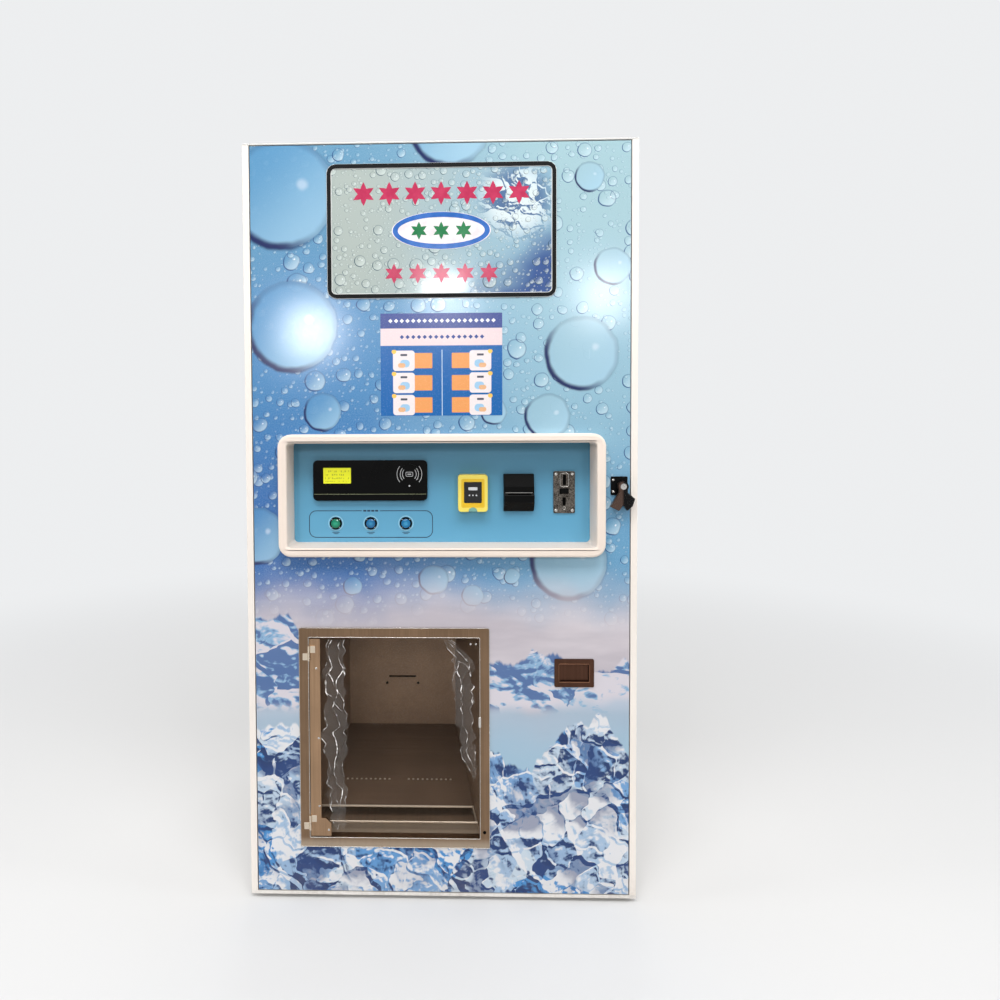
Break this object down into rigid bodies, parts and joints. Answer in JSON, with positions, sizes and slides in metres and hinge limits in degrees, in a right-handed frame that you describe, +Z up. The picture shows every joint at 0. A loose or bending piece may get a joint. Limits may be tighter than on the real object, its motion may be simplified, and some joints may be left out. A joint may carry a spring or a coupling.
{
  "type": "ice vending machine",
  "caption": "Walk-up ice vending machine: a tall steel cabinet whose hinged front carries a lit sign, a recessed payment panel and a stainless dispensing bay with a clear door.",
  "frame": {"origin": "middle of the footprint, on the floor", "axes": "+Z up, the front with the payment panel faces -Y, +X to the right seen from the front"},
  "size_m": [1.1, 1.085, 2.15],
  "materials": {
    "white_paint": "satin white powder coat",
    "grey_paint": "satin grey paint",
    "blue_wrap": "printed vinyl on painted sheet",
    "window_print": "printed translucent sheet",
    "black_rubber": "matt black rubber",
    "black_plastic": "satin black moulding",
    "cream_plastic": "glossy off-white moulding",
    "fascia_blue": "printed blue panel",
    "yellow_plastic": "glossy yellow moulding",
    "display_yellow": "yellow-green display",
    "green_lens": "green lens",
    "blue_lens": "blue lens",
    "stainless": "brushed stainless",
    "bright_steel": "polished steel",
    "clear_acrylic": "clear acrylic sheet",
    "clear_film": "clear protective film",
    "aluminium": "machined aluminium",
    "copper": "copper coil and fins"
  },
  "bodies": {
    "cabinet": {"base_frame": "white_paint", "front_post_left": "white_paint", "front_post_right_lower": "white_paint", "latch_block": "white_paint", "front_post_right_upper": "white_paint", "side_panel_left": "white_paint", "side_panel_right": "white_paint", "rear_panel": "white_paint", "top_panel": "white_paint", "door_hinge_pin_lower": "bright_steel", "door_hinge_pin_upper": "bright_steel", "shelf": "grey_paint", "ice_maker": "aluminium", "ice_spout": "aluminium", "ice_bin": "stainless", "auger_motor": "grey_paint", "ice_chute": "stainless", "control_box": "grey_paint", "compressor": "black_plastic", "condenser_coil": "copper", "fan_shroud": "grey_paint", "fan_motor": "grey_paint", "water_manifold": "bright_steel", "power_inlet": "black_plastic"},
    "service_door": {"door_skin": "blue_wrap", "door_frame": "grey_paint", "door_gasket": "black_rubber", "window_gasket": "black_rubber", "window_panel": "window_print", "lightbox_tray": "white_paint", "control_bezel": "cream_plastic", "control_tray": "cream_plastic", "control_fascia": "fascia_blue", "reader_housing": "black_plastic", "display_lens": "display_yellow", "button_block": "black_plastic", "card_terminal": "yellow_plastic", "bill_acceptor": "black_plastic", "bill_stacker": "grey_paint", "coin_acceptor": "bright_steel", "coin_mech": "grey_paint", "cash_box": "grey_paint", "bay_flange": "stainless", "bay_liner": "stainless", "bay_floor": "stainless", "coin_return": "stainless", "lock_housing": "black_plastic"},
    "bay_door": {"bay_stile": "stainless", "bay_pane": "clear_acrylic", "door_film": "clear_film"},
    "button_left": {"button_left": "green_lens"},
    "button_middle": {"button_middle": "blue_lens"},
    "button_right": {"button_right": "blue_lens"},
    "coin_reject_button": {"coin_reject_button": "black_plastic"},
    "coin_flap": {"coin_flap": "stainless"},
    "lock": {"lock_handle": "black_plastic", "latch_cam": "bright_steel"},
    "auger": {"ice_auger": "stainless"},
    "fan": {"fan_blades": "black_plastic"},
    "shutter": {"chute_shutter": "bright_steel"}
  },
  "joints": [
    {"name": "service_door_swing", "type": "hinge", "parent": "cabinet", "child": "service_door", "pos_m": [-0.517, -0.4997, 1.083], "axis": [0, 0, -1], "range_deg": [0, 100]},
    {"name": "lock_turn", "type": "hinge", "parent": "service_door", "child": "lock", "pos_m": [0.505, -0.5198, 1.18996], "axis": [0, -1, 0], "range_deg": [0, 90]},
    {"name": "bay_door_swing", "type": "hinge", "parent": "service_door", "child": "bay_door", "pos_m": [-0.37607, -0.5153, 0.47047], "axis": [0, 0, -1], "range_deg": [0, 110]},
    {"name": "button_left_press", "type": "slide", "parent": "service_door", "child": "button_left", "axis": [0, 1, 0], "range_m": [0, 0.003], "stiffness_N_per_m": 300},
    {"name": "button_middle_press", "type": "slide", "parent": "service_door", "child": "button_middle", "axis": [0, 1, 0], "range_m": [0, 0.003], "stiffness_N_per_m": 300},
    {"name": "button_right_press", "type": "slide", "parent": "service_door", "child": "button_right", "axis": [0, 1, 0], "range_m": [0, 0.003], "stiffness_N_per_m": 300},
    {"name": "coin_reject_button_press", "type": "slide", "parent": "service_door", "child": "coin_reject_button", "axis": [0, 1, 0], "range_m": [0, 0.0025], "stiffness_N_per_m": 300},
    {"name": "coin_flap_swing", "type": "hinge", "parent": "service_door", "child": "coin_flap", "pos_m": [0.37453, -0.5025, 0.68146], "axis": [1, 0, 0], "range_deg": [0, 60]},
    {"name": "auger_spin", "type": "hinge", "parent": "cabinet", "child": "auger", "pos_m": [-0.13437, -0.1705, 1.10743], "axis": [0, -1, 0], "continuous": true},
    {"name": "fan_spin", "type": "hinge", "parent": "cabinet", "child": "fan", "pos_m": [0.23276, 0.4412, 0.211], "axis": [0, 1, 0], "continuous": true},
    {"name": "shutter_slide", "type": "slide", "parent": "cabinet", "child": "shutter", "axis": [0, 1, 0], "range_m": [0, 0.16]}
  ]
}
